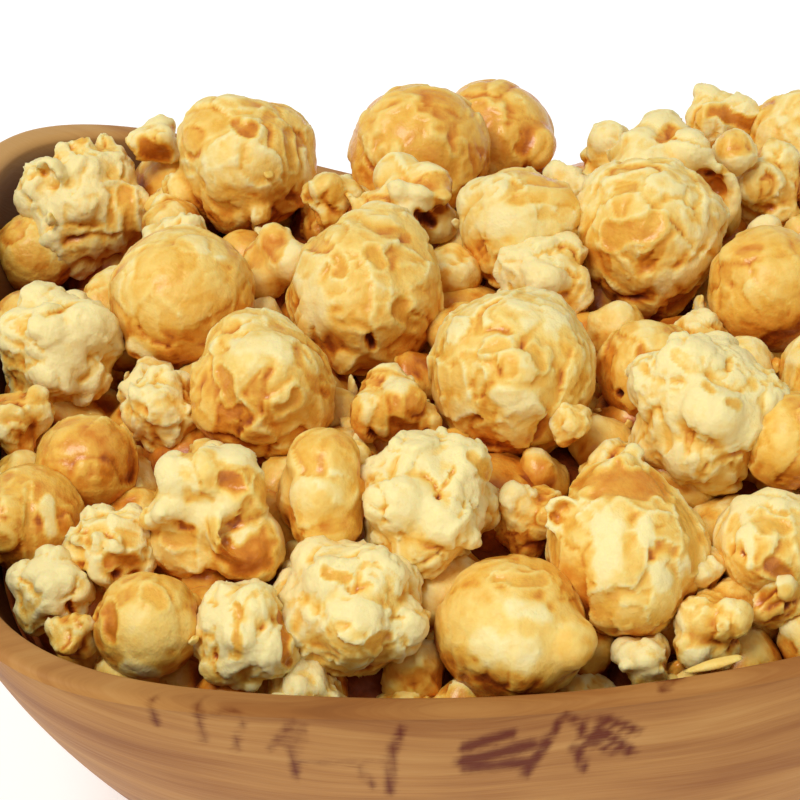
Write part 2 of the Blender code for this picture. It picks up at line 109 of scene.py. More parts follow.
# Kernels that show in the front view: across and down in pixels, width in mm, how far it
# lies behind the heap's surface in mm, and its kind. Then what it shows of its own: a lobe, a
# cup, or a patch, fold or pit of its skin, with its two ends and its width in pixels
SEEN_KERNELS = (
    (85, 210, 27, 0, "craggy",
     ("lobe", 64, 150, 104, 140, 22), ("cup", 52, 178, 36, 192, 34),
     ("amber", 70, 128, 82, 138, 20), ("amber", 128, 195, 132, 240, 22)),
    (155, 138, 11, 0, "small",
     ("cream", 138, 122, 170, 120, 16), ("caramel", 150, 150, 162, 154, 30)),
    (245, 167, 28, 0, "plated",
     ("caramel", 238, 128, 254, 134, 20), ("amber", 289, 135, 292, 170, 16),
     ("cream", 306, 150, 308, 195, 12), ("lobe", 262, 214, 262, 214, 26),
     ("lobe", 176, 186, 184, 206, 30)),
    (420, 155, 28, 2, "round", ("amber", 400, 130, 440, 175, 70)),
    (493, 140, 24, 5, "round", ("lobe", 532, 154, 536, 146, 40), ("amber", 480, 120, 500, 160, 50)),
    (366, 290, 31, 0, "plated",
     ("amber", 338, 260, 342, 270, 24), ("amber", 374, 258, 380, 266, 26),
     ("pit", 371, 338, 372, 344, 11), ("cream", 308, 286, 320, 320, 34),
     ("amber", 400, 312, 412, 326, 30), ("lobe", 346, 356, 348, 362, 26)),
    (405, 205, 20, 0, "opened",
     ("cup", 340, 208, 336, 212, 36), ("lobe", 398, 194, 440, 198, 24),
     ("pit", 420, 218, 432, 224, 20), ("cream", 376, 216, 392, 236, 30)),
    (520, 228, 24, 0, "plated",
     ("cream", 500, 225, 540, 238, 56), ("amber", 498, 262, 520, 270, 22)),
    (650, 240, 30, 0, "plated",
     ("cream", 655, 285, 704, 262, 26), ("caramel", 672, 306, 708, 294, 24),
     ("amber", 610, 238, 650, 228, 40)),
    (672, 190, 29, 1, "opened",
     ("lobe", 636, 152, 735, 152, 46), ("caramel", 690, 184, 718, 190, 22),
     ("cream", 738, 178, 744, 204, 26)),
    (725, 120, 15, 4, "small", ("caramel", 712, 114, 756, 126, 22)),
    (790, 135, 18, 0, "plated"),
    (775, 185, 17, 0, "small"),
    (545, 285, 19, 5, "craggy",
     ("cream", 535, 274, 556, 280, 38), ("amber", 548, 316, 562, 318, 28)),
    (770, 290, 24, 0, "round"),
    (10, 245, 17, 0, "round"),
    (62, 347, 25, 0, "craggy", ("cream", 48, 332, 76, 356, 50)),
    (183, 298, 27, 0, "round", ("lobe", 138, 346, 152, 358, 24), ("cream", 136, 346, 158, 362, 20)),
    (262, 388, 28, 0, "plated",
     ("cream", 240, 344, 286, 350, 32), ("amber", 226, 372, 232, 400, 20),
     ("amber", 284, 410, 296, 398, 24)),
    (512, 372, 31, 0, "plated",
     ("amber", 486, 350, 500, 344, 24), ("amber", 530, 350, 540, 362, 26),
     ("cream", 500, 396, 526, 402, 34)),
    (572, 425, 8, 0, "small"),
    (395, 405, 16, 4, "small",
     ("cream", 390, 384, 402, 388, 24), ("caramel", 396, 428, 404, 432, 36)),
    (650, 372, 20, 6, "round",
     ("caramel", 655, 366, 668, 378, 60), ("cream", 626, 372, 652, 378, 12),
     ("pit", 640, 391, 640, 391, 9), ("pit", 617, 394, 617, 394, 9)),
    (710, 412, 30, 0, "craggy",
     ("cream", 690, 400, 742, 424, 60), ("amber", 704, 385, 708, 391, 16),
     ("amber", 724, 402, 731, 406, 15)),
    (790, 440, 18, 0, "round"),
    (5, 425, 15, 0, "small"),
    (85, 462, 18, 2, "round"),
    (160, 410, 16, 3, "craggy"),
    (215, 515, 25, 0, "opened",
     ("lobe", 180, 474, 236, 470, 50), ("lobe", 136, 524, 166, 512, 26),
     ("caramel", 229, 476, 238, 482, 34), ("caramel", 232, 555, 262, 550, 54),
     ("amber", 172, 541, 190, 539, 30), ("amber", 264, 480, 272, 502, 28),
     ("cream", 190, 512, 220, 506, 40)),
    (325, 492, 17, 0, "round", ("lobe", 325, 464, 325, 520, 72)),
    (430, 503, 26, 0, "craggy",
     ("fold", 454, 468, 438, 494, 9), ("pit", 438, 495, 438, 495, 8),
     ("amber", 474, 456, 486, 472, 24), ("lobe", 470, 540, 474, 538, 20),
     ("cream", 412, 500, 440, 524, 50)),
    (525, 520, 14, 8, "small"),
    (630, 548, 31, 0, "plated",
     ("caramel", 590, 478, 664, 484, 48), ("amber", 682, 498, 696, 560, 30),
     ("lobe", 624, 464, 632, 456, 24), ("cup", 562, 514, 556, 516, 40),
     ("cream", 604, 526, 600, 570, 36), ("cream", 640, 520, 646, 540, 24),
     ("cream", 652, 570, 660, 578, 28)),
    (705, 570, 9, 0, "small"),
    (770, 545, 20, 0, "plated",
     ("cream", 742, 516, 746, 562, 14), ("amber", 760, 520, 776, 526, 28),
     ("caramel", 766, 562, 782, 576, 24)),
    (30, 520, 20, 0, "round",
     ("amber", 32, 488, 34, 555, 16), ("cream", 50, 500, 54, 530, 20),
     ("lobe", 10, 520, 10, 522, 60)),
    (50, 590, 16, 0, "craggy", ("cream", 38, 570, 60, 572, 40), ("pit", 72, 607, 78, 612, 12)),
    (70, 635, 9, 0, "small"),
    (110, 550, 17, 2, "craggy",
     ("lobe", 78, 536, 118, 542, 16), ("caramel", 116, 557, 132, 561, 32),
     ("cream", 92, 556, 98, 575, 18)),
    (148, 625, 19, 0, "round",
     ("gold", 138, 630, 160, 630, 90), ("caramel", 112, 604, 113, 636, 22),
     ("amber", 150, 592, 162, 598, 26), ("cream", 130, 664, 152, 668, 24)),
    (245, 635, 20, 0, "craggy",
     ("cream", 224, 600, 224, 662, 18), ("cream", 254, 600, 251, 656, 14),
     ("amber", 239, 604, 238, 652, 13), ("caramel", 285, 612, 288, 660, 14)),
    (350, 610, 27, 0, "craggy",
     ("amber", 328, 570, 346, 576, 18), ("amber", 370, 642, 386, 634, 20),
     ("cream", 338, 604, 366, 618, 36)),
    (512, 630, 27, 0, "round",
     ("lobe", 566, 640, 568, 640, 56), ("gold", 480, 625, 550, 640, 120),
     ("cream", 486, 640, 520, 650, 50), ("cream", 512, 604, 540, 612, 26),
     ("amber", 496, 576, 540, 578, 18)),
    (640, 662, 11, 0, "small", ("lobe", 624, 668, 656, 655, 14), ("cream", 636, 660, 644, 664, 40)),
    (712, 625, 16, 0, "small", ("lobe", 690, 648, 690, 648, 40), ("lobe", 727, 618, 727, 618, 44)),
    (780, 600, 12, 0, "small"),
    (616, 158, 14, 0, "small"),
    (332, 201, 12, 2, "small"),
    (571, 192, 12, 3, "small"),
)
OTHER_LAYERS = (
    (28, 0, 0.9), (24, 0, 0.88), (20, 1, 0.86), (16, 3, 0.84), (13, 6, 0.82), (20, 10, 0.8),
    (14, 11, 0.8), (22, 16, 0.6), (17, 12, 0.62),
)
LOW_LAYER = 8
OTHER_KINDS = ("plated", "plated", "craggy", "round", "opened")
SPOT_SPACING = 5
SPOT_JITTER = 2
WIDTH_SPREAD = 0.07
DEEPEST_BEHIND = 22 * MM
LAYOUT_SEED = 11


# The bowl's and the heap's form

def squareness(fall):
    """How square the plan is, at a fall of 0 at the rim to 1 at the bottom."""
    return RIM_SQUARENESS + (FOOT_SQUARENESS - RIM_SQUARENESS) * fall


def narrowing(x, fall):
    """The width at x as a share of the width at the middle."""
    return 1 - (RIM_TAPER + (FOOT_TAPER - RIM_TAPER) * fall) * x / HALF_LENGTH


def plan_turn(x, y):
    """Angle about the bowl's axis of a place on its plan, before it is narrowed."""
    return math.atan2(y / narrowing(x, 0), x)


def plan_share(x, y, inset, fall=0):
    """How far out a place lies: 1 on the rim's plan, moved in by the inset."""
    power = squareness(fall)
    along = abs(x) / (HALF_LENGTH - inset)
    across = abs(y / narrowing(x, fall)) / (HALF_WIDTH - inset)
    return (along**power + across**power) ** (1 / power)


def plan_point(turn, share, inset, fall=0):
    """A place on the plan of the rim, moved in by the inset and shrunk to the share."""
    power = squareness(fall)
    along = abs(math.cos(turn)) / (HALF_LENGTH - inset)
    across = abs(math.sin(turn)) / (HALF_WIDTH - inset)
    reach = share * (along**power + across**power) ** (-1 / power)
    x = reach * math.cos(turn)
    y = reach * math.sin(turn) * narrowing(x, fall)
    return x, y


def rim_height(turn):
    swing = END_RISE * math.cos(2 * turn) - LEFT_RISE * math.cos(turn)
    dip = BACK_DIP * max(math.sin(turn), 0) ** BACK_DIP_POWER
    return RIM_LEVEL + swing - dip


def wall_share(fall, low_share):
    """The wall's share of the rim's plan at a fall."""
    return low_share + (1 - low_share) * (1 - fall**WALL_FULLNESS) ** (1 / WALL_FULLNESS)


def heap_height(x, y):
    """Height of the kernels' middles over a place on the plan."""
    edge = rim_height(plan_turn(x, y)) - EDGE_DROP
    share = min(plan_share(x, y, RIM_THICKNESS), FORM_REACH)
    dome = (RIM_LEVEL + CROWN_RISE - edge) * (1 - share**TOP_FLATNESS)
    tilt = BACK_LIFT * y / HALF_WIDTH - BACK_SLOPE * max(y - BACK_ROW, 0)
    away = ((x - DIP_X) ** 2 + (y - DIP_Y) ** 2) / (2 * DIP_SPREAD**2)
    return edge + dome + tilt - DIP_DEPTH * math.exp(-away)


# The front view

def view_point(across, down, depth):
    """The place that the front view shows at a pixel, at a depth from the viewer."""
    right = (across - VIEW_MIDDLE) / VIEW_FOCUS * depth
    up = (VIEW_MIDDLE - down) / VIEW_FOCUS * depth
    beyond = depth - VIEW_DISTANCE
    x = right + VIEW_AIM_X
    y = up * math.sin(VIEW_ELEVATION) + beyond * math.cos(VIEW_ELEVATION)
    z = up * math.cos(VIEW_ELEVATION) - beyond * math.sin(VIEW_ELEVATION)
    turned_x = math.cos(VIEW_TURN) * x + math.sin(VIEW_TURN) * y
    turned_y = math.cos(VIEW_TURN) * y - math.sin(VIEW_TURN) * x
    return Vector((turned_x, turned_y, z + VIEW_AIM_Z))


def view_pixel(point):
    """Where the front view shows a place: across, down and depth."""
    x = math.cos(VIEW_TURN) * point.x - math.sin(VIEW_TURN) * point.y - VIEW_AIM_X
    y = math.sin(VIEW_TURN) * point.x + math.cos(VIEW_TURN) * point.y
    z = point.z - VIEW_AIM_Z
    up = y * math.sin(VIEW_ELEVATION) + z * math.cos(VIEW_ELEVATION)
    depth = VIEW_DISTANCE + y * math.cos(VIEW_ELEVATION) - z * math.sin(VIEW_ELEVATION)
    return VIEW_MIDDLE + VIEW_FOCUS * x / depth, VIEW_MIDDLE - VIEW_FOCUS * up / depth, depth


# Where each kernel lies

def place_in_view(across, down, behind):
    """Where a pixel of the front view meets the heap, or its back row, and so far behind."""
    depth = VIEW_NEAREST
    while depth < VIEW_FARTHEST:
        point = view_point(across, down, depth)
        on_heap = point.z < heap_height(point.x, point.y)
        if (on_heap and plan_share(point.x, point.y, 0) < SIGHT_REACH) or point.y > BACK_ROW:
            break
        depth += VIEW_STEP
    return view_point(across, down, depth + behind)


def keep_in_hollow(point, radius):
    """Moves a kernel in from the bowl's wall until it is clear."""
    inset = RIM_THICKNESS + KERNEL_GAP + radius
    share = plan_share(point.x, point.y, inset)
    if share <= 1:
        return point
    return Vector((point.x / share, point.y / share, point.z))


def pokes_into_wall(point, radius):
    """Whether a ball reaches into the bowl's wall, below the rim."""
    for step in range(WALL_STEPS):
        turn = 2 * math.pi * step / WALL_STEPS
        for lean in WALL_LEANS:
            across = radius * math.cos(lean)
            x = point.x + across * math.cos(turn)
            y = point.y + across * math.sin(turn)
            rim = rim_height(plan_turn(x, y))
            fall = (rim - point.z + radius * math.sin(lean)) / (rim - FLOOR_THICKNESS)
            fall = min(max(fall, 0), 1)
            if plan_share(x, y, RIM_THICKNESS, fall) > wall_share(fall, HOLLOW_SHARE):
                return True
    return False


def keep_off_wall(point, radius):
    """Moves a kernel towards the bowl's axis until it is clear of the wall."""
    while pokes_into_wall(point, radius):
        point = Vector((point.x * WALL_RETREAT, point.y * WALL_RETREAT, point.z))
    return point


def hides_seen_kernel(point, radius, seen):
    """Whether a kernel would stand in front of one that shows in the front view."""
    across, down, depth = view_pixel(point)
    for other in seen:
        other_across, other_down, other_depth = other["pixel"]
        apart = math.hypot(across - other_across, down - other_down) / VIEW_FOCUS * depth
        close = apart < HIDING_SHARE * (radius + other["radius"])
        if close and depth < other_depth + HIDING_DEPTH:
            return True
    return False


def breaks_skyline(point, radius, seen):
    """Whether a kernel's top shows in the front view above the kernels of the skyline."""
    across, down, depth = view_pixel(point)
    if not -VIEW_MARGIN < across < 2 * VIEW_MIDDLE + VIEW_MARGIN:
        return False
    for step in range(SKYLINE_STEPS):
        angle = math.pi * (step + 0.5) / SKYLINE_STEPS
        edge_across = across + radius * math.cos(angle) * VIEW_FOCUS / depth
        edge_down = down - radius * math.sin(angle) * VIEW_FOCUS / depth
        if edge_down > SKYLINE_ROW:
            continue
        hidden = False
        for other in seen:
            other_across, other_down, other_depth = other["pixel"]
            apart = math.hypot(edge_across - other_across, edge_down - other_down)
            reach = SKYLINE_COVER * other["radius"] * VIEW_FOCUS / other_depth
            hidden = hidden or (apart < reach and depth > other_depth)
        if not hidden:
            return True
    return False


def lower_behind_skyline(point, radius, seen):
    """Sinks a kernel behind the heap's skyline, or gives None where it would be buried."""
    deepest = point.z - DEEPEST_BEHIND
    while breaks_skyline(point, radius, seen):
        point = point - Vector((0, 0, VIEW_STEP))
        if point.z < deepest:
            return None
    return point


def heap_layout():
    """Every kernel of the heap: its middle, radius and kind."""
    kernels = []
    for across, down, width, behind, kind, *forms in SEEN_KERNELS:
        radius = width / 2 * MM
        middle = keep_in_hollow(place_in_view(across, down, behind * MM), radius)
        kernels.append({"middle": middle, "radius": radius, "kind": kind, "layer": "seen",
                        "spot": (across, down), "forms": forms})
    seen = [{**kernel, "pixel": view_pixel(kernel["middle"])} for kernel in kernels]
    draw = random.Random(LAYOUT_SEED)
    reach = round(HALF_LENGTH / MM)
    steps = range(-reach, reach, SPOT_SPACING)
    spots = [(x, y) for x in steps for y in steps]
    for width, drop, closeness in OTHER_LAYERS:
        draw.shuffle(spots)
        for spot_x, spot_y in spots:
            x = (spot_x + draw.uniform(-SPOT_JITTER, SPOT_JITTER)) * MM
            y = (spot_y + draw.uniform(-SPOT_JITTER, SPOT_JITTER)) * MM
            radius = width / 2 * MM * draw.uniform(1 - WIDTH_SPREAD, 1 + WIDTH_SPREAD)
            kind = draw.choice(OTHER_KINDS)
            if plan_share(x, y, RIM_THICKNESS + KERNEL_GAP + radius) > 1:
                continue
            middle = Vector((x, y, heap_height(x, y) - drop * MM))
            middle = lower_behind_skyline(middle, radius, seen)
            if middle is None or hides_seen_kernel(middle, radius, seen):
                continue
            if any((middle - other["middle"]).length < closeness * (radius + other["radius"])
                   for other in kernels):
                continue
            layer = "top" if drop < LOW_LAYER else "low"
            kernels.append({"middle": middle, "radius": radius, "kind": kind, "layer": layer})
    return kernels


# Handling objects

def pick_only(item):
    """Makes one object the only selected one, and the active one."""
    bpy.ops.object.select_all(action="DESELECT")
    item.select_set(True)
    bpy.context.view_layer.objects.active = item


def apply_modifiers(item):
    pick_only(item)
    for modifier in list(item.modifiers):
        bpy.ops.object.modifier_apply(modifier=modifier.name)


def face_outwards(item):
    """Turns all the faces of an object outwards."""
    pick_only(item)
    bpy.ops.object.mode_set(mode="EDIT")
    bpy.ops.mesh.select_all(action="SELECT")
    bpy.ops.mesh.normals_make_consistent(inside=False)
    bpy.ops.object.mode_set(mode="OBJECT")


def add_ball(steps):
    """A new ball of radius 1, which alone is selected."""
    bpy.ops.object.select_all(action="DESELECT")
    bpy.ops.mesh.primitive_ico_sphere_add(subdivisions=steps, radius=1)
    return bpy.context.object


def draw_up_rings(name, corners, rings, look_down=False):
    """A closed tube drawn up from a disc, each ring at the height of its number."""
    bpy.ops.object.select_all(action="DESELECT")
    bpy.ops.mesh.primitive_circle_add(vertices=corners, radius=1, fill_type="NGON")
    item = bpy.context.object
    item.name = name
    bpy.ops.object.mode_set(mode="EDIT")
    if look_down:
        bpy.ops.mesh.select_all(action="SELECT")
        bpy.ops.mesh.flip_normals()
    bpy.ops.mesh.select_mode(type="EDGE")
    bpy.ops.mesh.select_all(action="SELECT")
    for number in range(1, rings):
        bpy.ops.mesh.extrude_edges_move(TRANSFORM_OT_translate={"value": (0, 0, 1)})
    bpy.ops.mesh.edge_face_add()
    return item


def points_of(item):
    points = np.empty(len(item.data.vertices) * 3)
    item.data.vertices.foreach_get("co", points)
    return points.reshape(-1, 3)


def faces_of(item, corners):
    """The corners of an object's faces, which all have the same number of them."""
    faces = np.empty(len(item.data.loops), dtype=np.int32)
    item.data.loops.foreach_get("vertex_index", faces)
    return faces.reshape(-1, corners)


def taken_arrays(item):
    """The points and triangles of an object, which is then removed."""
    arrays = points_of(item), faces_of(item, 3)
    bpy.data.objects.remove(item, do_unlink=True)
    return arrays


def mesh_object(name, points, faces):
    """An object of faces that all have the same number of corners."""
    mesh = bpy.data.meshes.new(name)
    mesh.vertices.add(len(points))
    mesh.vertices.foreach_set("co", np.ravel(points))
    mesh.loops.add(faces.size)
    mesh.loops.foreach_set("vertex_index", np.ravel(faces))
    mesh.polygons.add(len(faces))
    mesh.polygons.foreach_set("loop_start", np.arange(len(faces)) * faces.shape[1])
    mesh.update(calc_edges=True)
    item = bpy.data.objects.new(name, mesh)
    bpy.context.scene.collection.objects.link(item)
    return item


def add_values(item, name, values):
    """Stores one number for each point, which a material can read."""
    layer = item.data.attributes.new(name, "FLOAT", "POINT")
    layer.data.foreach_set("value", np.ravel(values))


def coat_popcorn(item, glazes, tones, material):
    """Gives popcorn its soft shading, its material and the values that the material reads."""
    item.data.shade_smooth()
    add_values(item, "glaze", glazes)
    add_values(item, "tone", tones)
    item.data.materials.append(material)
    return item


# Noise on arrays of places, given in cells, with steady turns for its facets
FACET_TURNS = np.array((57, 91, 143))


def cell_number(cells, seed):
    """A steady number from 0 to 1 for each cell of a lattice."""
    mixed = cells[:, 0] * 73856093 ^ cells[:, 1] * 19349663 ^ cells[:, 2] * 83492791
    mixed = (mixed ^ (seed + 1) * 2654435761) & 0xFFFFFFFF
    mixed = ((mixed ^ (mixed >> 15)) * 2246822519) & 0xFFFFFFFF
    mixed = ((mixed ^ (mixed >> 13)) * 3266489917) & 0xFFFFFFFF
    return ((mixed ^ (mixed >> 16)) & 0xFFFF) / 0xFFFF


def cloud(places, seed):
    """Smooth noise from -1 to 1."""
    low = np.floor(places).astype(np.int64)
    part = places - low
    blend = part * part * (3 - 2 * part)
    total = np.zeros(len(places))
    for corner in np.ndindex(2, 2, 2):
        weight = np.prod(np.where(corner, blend, 1 - blend), axis=1)
        total += weight * cell_number(low + np.array(corner), seed)
    return 2 * total - 1


def patches(places, seed):
    """Distances to the nearest and the next cell point, the nearest one's own number, and how
    high a tilted facet about that point lies."""
    low = np.floor(places).astype(np.int64)
    nearest = np.full(len(places), 9.0)
    second = np.full(len(places), 9.0)
    own = np.zeros(len(places))
    offset = np.zeros_like(places)
    for step in np.ndindex(3, 3, 3):
        cell = low + np.array(step) - 1
        spot = cell + np.stack([cell_number(cell, seed + axis) for axis in range(3)], axis=1)
        away = np.linalg.norm(places - spot, axis=1)
        closer = away < nearest
        second = np.where(closer, nearest, np.minimum(second, away))
        own = np.where(closer, cell_number(cell, seed + 3), own)
        offset = np.where(closer[:, None], places - spot, offset)
        nearest = np.where(closer, away, nearest)
    tilt = np.sin(own[:, None] * FACET_TURNS)
    return nearest, second, own, np.sum(offset * tilt, axis=1)


def rise_between(values, low, high):
    """Goes softly from 0 at the low value to 1 at the high one."""
    share = np.clip((values - low) / (high - low), 0, 1)
    return share * share * (3 - 2 * share)


def evened(values, edges, rounds, share=0.5):
    """Each point's values, moved towards those of its neighbours a few times."""
    count = np.bincount(edges.ravel(), minlength=len(values))[:, None]
    for _ in range(rounds):
        around = np.zeros_like(values)
        for axis in range(values.shape[1]):
            near = np.bincount(edges[:, 0], values[edges[:, 1], axis], len(values))
            far = np.bincount(edges[:, 1], values[edges[:, 0], axis], len(values))
            around[:, axis] = near + far
        values = values + share * (around / count - values)
    return values


# The looks of each kind of kernel: its body and its lumps (how many, their size and the reach
# of their middles) as shares of its radius, its cups, the size of its plates and the heights of
# its relief in mm, and how glazed it is all over and in pools
LOOK_NAMES = ("body", "lumps", "lump", "reach", "cups", "plate", "ridge", "crease", "swell",
              "island", "bump", "crinkle", "facet", "glaze", "pool")
KIND_LOOKS = {kind: dict(zip(LOOK_NAMES, values)) for kind, values in (
    ("round", (0.93, 4, 0.62, 0.31, 0, 10.0, 0.2, 0.25, 0.35, 0.12, 0.1, 0.06, 0.05, 0.56, 0.16)),
    ("plated", (0.86, 7, 0.56, 0.42, 0, 8.5, 0.36, 0.34, 0.45, 0.3, 0.18, 0.08, 0.09, 0.36, 0.24)),
    ("craggy", (0.78, 12, 0.4, 0.58, 0, 5.6, 0.35, 0.45, 0.7, 0.55, 0.42, 0.1, 0.16, 0.13, 0.24)),
    ("opened", (0.55, 6, 0.46, 0.56, 3, 7.5, 0.2, 0.3, 0.5, 0.4, 0.15, 0.1, 0.07, 0.26, 0.4)),
    ("small", (0.62, 5, 0.5, 0.5, 0, 5.0, 0.2, 0.2, 0.4, 0.2, 0.12, 0.1, 0.16, 0.34, 0.4)),
)}
# How glazed each kind of patch, pit or fold leaves the skin, and how far it stands out in mm
SKIN_LOOKS = {"gold": (0.3, 0.2), "cream": (0.06, 0.3), "amber": (0.6, -0.4), "caramel": (0.84, -0.5),
              "pit": (1.35, -1.6), "fold": (0.75, -0.6)}
LOBE_DEPTH = 0.5
RAGGED = 0.42
RAGGED_SIZE = 2.2
RAGGED_GLAZE = 0.2
SOFT_EDGE = 0.6
FRONT_SIDE = (-1, 2)
PALE_RIM = 0.5
RAISED_RIM = 2.2
CALMED_RELIEF = 0.6
# Painted shade, on the glaze scale: how much less of it lies where a kernel's own forms are, how much
# darker kernels grow deep in the heap (those out of view, then those that show), and the depths in mm
# below the heap's surface where it begins and is full
CALMED_PAINTED_SHADE = 0.8
BURIED_PAINTED_SHADE = 0.6
SEEN_BURIED_PAINTED_SHADE = 0.4
BURIED_FROM = -7
BURIED_TO = 16
# Painted shade and light by facing: how much darker a kernel is where it faces down, and paler where
# it faces up
UNDERSIDE_PAINTED_SHADE = 0.1

# The shapes that kernels are put together from, and how they vary, as shares of the radius
PART_STEPS = 4
CUP_CUT = 0.1
CUP_WALL = 0.24
GOLDEN_TURN = math.pi * (3 - math.sqrt(5))
SHAKEN_RISE = 0.25
SHAKEN_TURN = 0.4
LUMP_RANGE = (0.8, 1.15)
CUP_SIZE = 0.5
CUP_RANGE = (0.85, 1.15)
CUP_REACH = 0.62
CUP_TILT = 0.5

# The skin: its patterns' sizes in mm, and where they begin and are at their full
LINE_WIDTH = 0.13
BEND_SIZE = 6.0
BEND_REACH = 2.6
STRETCH_SIZE = 7
RAISED_STRETCH = (0.1, 0.35)
SUNK_STRETCH = (0.05, 0.35)
SWELL_SIZE = 5.5
POOL_SIZE = 5
POOL_EDGE = (0.06, 0.3)
ISLAND_RIM = 1.1
ISLAND_DEPTH = 0.8
SMALL_PLATE = 0.42
BUMP_LEVEL = 0.4
BUMP_SPREAD = 1.2
CRINKLE_SIZE = 1.5
HOLLOW_ROUNDS = 6
PIT_ROUNDS = 5
HOLLOW_GLAZE = 0.75
HOLLOW_RANGE = (-0.3, 0.5)
PIT_GLAZE = 0.3
PIT_RANGE = (-0.5, 1.2)
UNEVEN_GLAZE = 0.22
UNEVEN_SIZE = 9
SEEN_FINENESS = 0.62
TOP_FINENESS = 0.85
LOW_FINENESS = 1.75
FINENESS = {"seen": SEEN_FINENESS, "top": TOP_FINENESS, "low": LOW_FINENESS}
EASE_ROUNDS = 6
LAST_EASE = 0.35


def view_axes():
    """The front view's directions to the right, up and towards the viewer, as columns."""
    right = (math.cos(VIEW_TURN), -math.sin(VIEW_TURN), 0)
    lean = math.sin(VIEW_ELEVATION)
    up = (math.sin(VIEW_TURN) * lean, math.cos(VIEW_TURN) * lean, math.cos(VIEW_ELEVATION))
    toward = np.cross(right, up)
    return np.stack([right, up, toward], axis=1)


def model_parts():
    """The two shapes that kernels are put together from: a ball and an open cup."""
    ball = taken_arrays(add_ball(PART_STEPS))
    cup = add_ball(PART_STEPS)
    bpy.ops.object.mode_set(mode="EDIT")
    bpy.ops.mesh.select_all(action="SELECT")
    bpy.ops.mesh.bisect(plane_co=(0, 0, CUP_CUT), plane_no=(0, 0, 1), clear_outer=True)
    bpy.ops.object.mode_set(mode="OBJECT")
    wall = cup.modifiers.new("wall", "SOLIDIFY")
    wall.thickness = CUP_WALL
    wall.offset = -1
    triangles = cup.modifiers.new("triangles", "TRIANGULATE")
    triangles.quad_method = "BEAUTY"
    apply_modifiers(cup)
    return {"ball": ball, "cup": taken_arrays(cup)}


def even_directions(count, draw):
    """Directions spread evenly over a ball and then shaken a little."""
    directions = []
    start = draw.uniform(0, 2 * math.pi)
    for i in range(count):
        rise = 1 - 2 * (i + 0.5) / count + draw.uniform(-SHAKEN_RISE, SHAKEN_RISE)
        turn = start + i * GOLDEN_TURN + draw.uniform(-SHAKEN_TURN, SHAKEN_TURN)
        direction = Vector((math.cos(turn), math.sin(turn), 0)) * math.sqrt(max(1 - rise**2, 0))
        direction.z = rise
        directions.append(direction.normalized())
    return directions


def place_part(part, middle, radius, facing=None):
    """A ball or cup at its size and place, a cup with its mouth to the facing."""
    points, faces = part
    points = points * radius
    if facing is not None:
        turn = Vector(facing).to_track_quat("Z", "Y").to_matrix()
        points = points @ np.array(turn).T
    return points + np.array(middle), faces


def join_arrays(pieces):
    """Several lists of points and faces as one."""
    points = np.concatenate([piece[0] for piece in pieces])
    starts = np.cumsum([0] + [len(piece[0]) for piece in pieces[:-1]])
    faces = np.concatenate([piece[1] + start for piece, start in zip(pieces, starts)])
    return points, faces


def forms_of(kernel):
    """A kernel's own forms, in mm from its middle to the right and up in the front view."""
    pixels_per_mm = VIEW_FOCUS / view_pixel(kernel["middle"])[2] * MM
    across, down = kernel["spot"]
    forms = []
    for kind, first_x, first_y, last_x, last_y, width in kernel["forms"]:
        first = np.array((first_x - across, down - first_y)) / pixels_per_mm
        last = np.array((last_x - across, down - last_y)) / pixels_per_mm
        forms.append((kind, first, last, width / pixels_per_mm))
    return forms


def form_parts(forms, radius, parts):
    """The lobes, each a row of three balls, and the cups that a kernel has of its own."""
    pieces = []
    for kind, first, last, width in forms:
        if kind not in ("lobe", "cup"):
            continue
        size = width / 2
        for share in (0, 0.5, 1) if kind == "lobe" else (0,):
            x, y = first + (last - first) * share
            front = math.sqrt(max(radius**2 - x**2 - y**2, 0))
            if kind == "lobe":
                middle = (x, y, front - LOBE_DEPTH * size)
                pieces.append(place_part(parts["ball"], middle, size))
            else:
                facing = (*(last - first), size)
                pieces.append(place_part(parts["cup"], (x, y, front), size, facing=facing))
    return pieces


def skin_forms(points, forms, seed):
    """What the forms do to the skin: height in mm, how glazed they leave it and their share."""
    height = np.zeros(len(points))
    glaze = np.zeros(len(points))
    share = np.zeros(len(points))
    ragged = RAGGED * cloud(points / RAGGED_SIZE, seed)
    front = rise_between(points[:, 2], *FRONT_SIDE)
    for kind, first, last, width in forms:
        if kind not in SKIN_LOOKS:
            continue
        target, lift = SKIN_LOOKS[kind]
        run = last - first
        flat = points[:, :2] - first
        along = np.clip(flat @ run / max(run @ run, 0.01), 0, 1)
        away = np.linalg.norm(flat - along[:, None] * run, axis=1)
        weight = rise_between(1 - away / (width / 2) + ragged, 0, SOFT_EDGE) * front
        edge = weight * (1 - weight) if lift < 0 else 0
        height += lift * weight + RAISED_RIM * edge
        glaze = glaze * (1 - weight) + (target + RAGGED_GLAZE * ragged) * weight
        glaze -= PALE_RIM * edge
        share = share * (1 - weight) + weight
    return height, glaze, share


